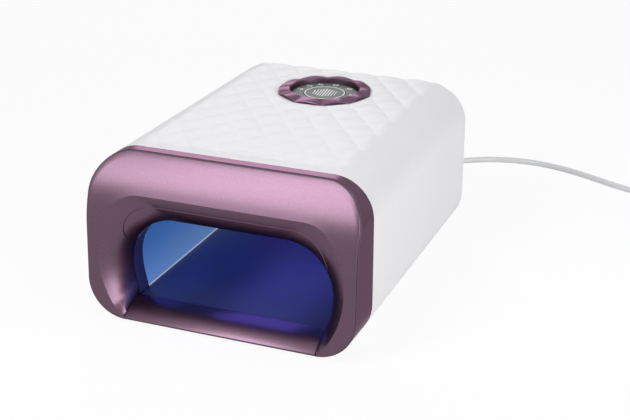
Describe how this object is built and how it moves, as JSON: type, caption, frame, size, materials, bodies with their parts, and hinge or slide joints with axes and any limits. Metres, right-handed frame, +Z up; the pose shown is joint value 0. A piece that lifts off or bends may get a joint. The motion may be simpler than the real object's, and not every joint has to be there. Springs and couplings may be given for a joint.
{
  "type": "uv led nail lamp",
  "caption": "Table-top nail curing lamp with a quilted rounded housing, a scooped hand mouth with a pull-out tray, a lit tunnel, a round top panel and a mains cord.",
  "frame": {"origin": "on the table under the middle of the lamp, measured without the cord", "axes": "+Z up, +Y from the hand mouth to the rear, +X to the right seen from the mouth"},
  "size_m": [0.423, 0.4192, 0.1242],
  "materials": {
    "white_shell": "semi-gloss",
    "mauve_finish": "satin pearl",
    "grey_plastic": "matte",
    "foot_rubber": "matte",
    "screw_steel": "plated",
    "reflector_sheet": "bright",
    "board_green": "solder mask",
    "bead_lens": "clear",
    "liner_sheet": "bright sheet",
    "panel_grey": "satin",
    "switch_black": "matte",
    "part_yellow": "matte",
    "part_green": "matte",
    "lead_red": "matte",
    "white_cord": "satin",
    "tie_black": "woven",
    "pin_brass": "nickel plated"
  },
  "bodies": {
    "housing": {"outer_shell": "white_shell", "rear_panel": "white_shell", "base_frame": "grey_plastic", "rubber_feet": "foot_rubber", "base_screws": "screw_steel", "rear_screws": "screw_steel", "bezel_band": "mauve_finish", "front_bezel": "mauve_finish", "mouth_visor": "mauve_finish", "tunnel_chassis": "grey_plastic", "left_reflector": "reflector_sheet", "right_reflector": "reflector_sheet", "ceiling_reflector": "reflector_sheet", "rear_reflector": "reflector_sheet", "led_board": "board_green", "led_beads": "bead_lens", "led_screws": "screw_steel", "panel_ring": "mauve_finish", "panel_disc": "panel_grey", "switch_body": "switch_black", "control_board": "board_green", "indicator_lights": "bead_lens", "control_screws": "screw_steel", "power_board": "board_green", "transformer": "part_yellow", "filter_capacitors": "switch_black", "terminal_block": "part_green", "power_screws": "screw_steel", "led_lead": "lead_red", "panel_lead": "lead_red", "inner_mains_lead": "white_cord", "cord_gland": "white_cord", "cord_lead": "white_cord", "cord_coil": "white_cord", "cord_tie": "tie_black", "plug_body": "white_cord", "plug_pins": "pin_brass"},
    "tray": {"tray": "mauve_finish", "tray_liner": "liner_sheet"},
    "start_button": {"start_button": "panel_grey", "switch_plunger": "switch_black"}
  },
  "joints": [
    {"name": "tray_slide", "type": "slide", "parent": "housing", "child": "tray", "axis": [0, -1, 0], "range_m": [0, 0.18]},
    {"name": "start_press", "type": "slide", "parent": "housing", "child": "start_button", "axis": [0, 0, -1], "range_m": [0, 0.0008], "stiffness_N_per_m": 1500}
  ]
}
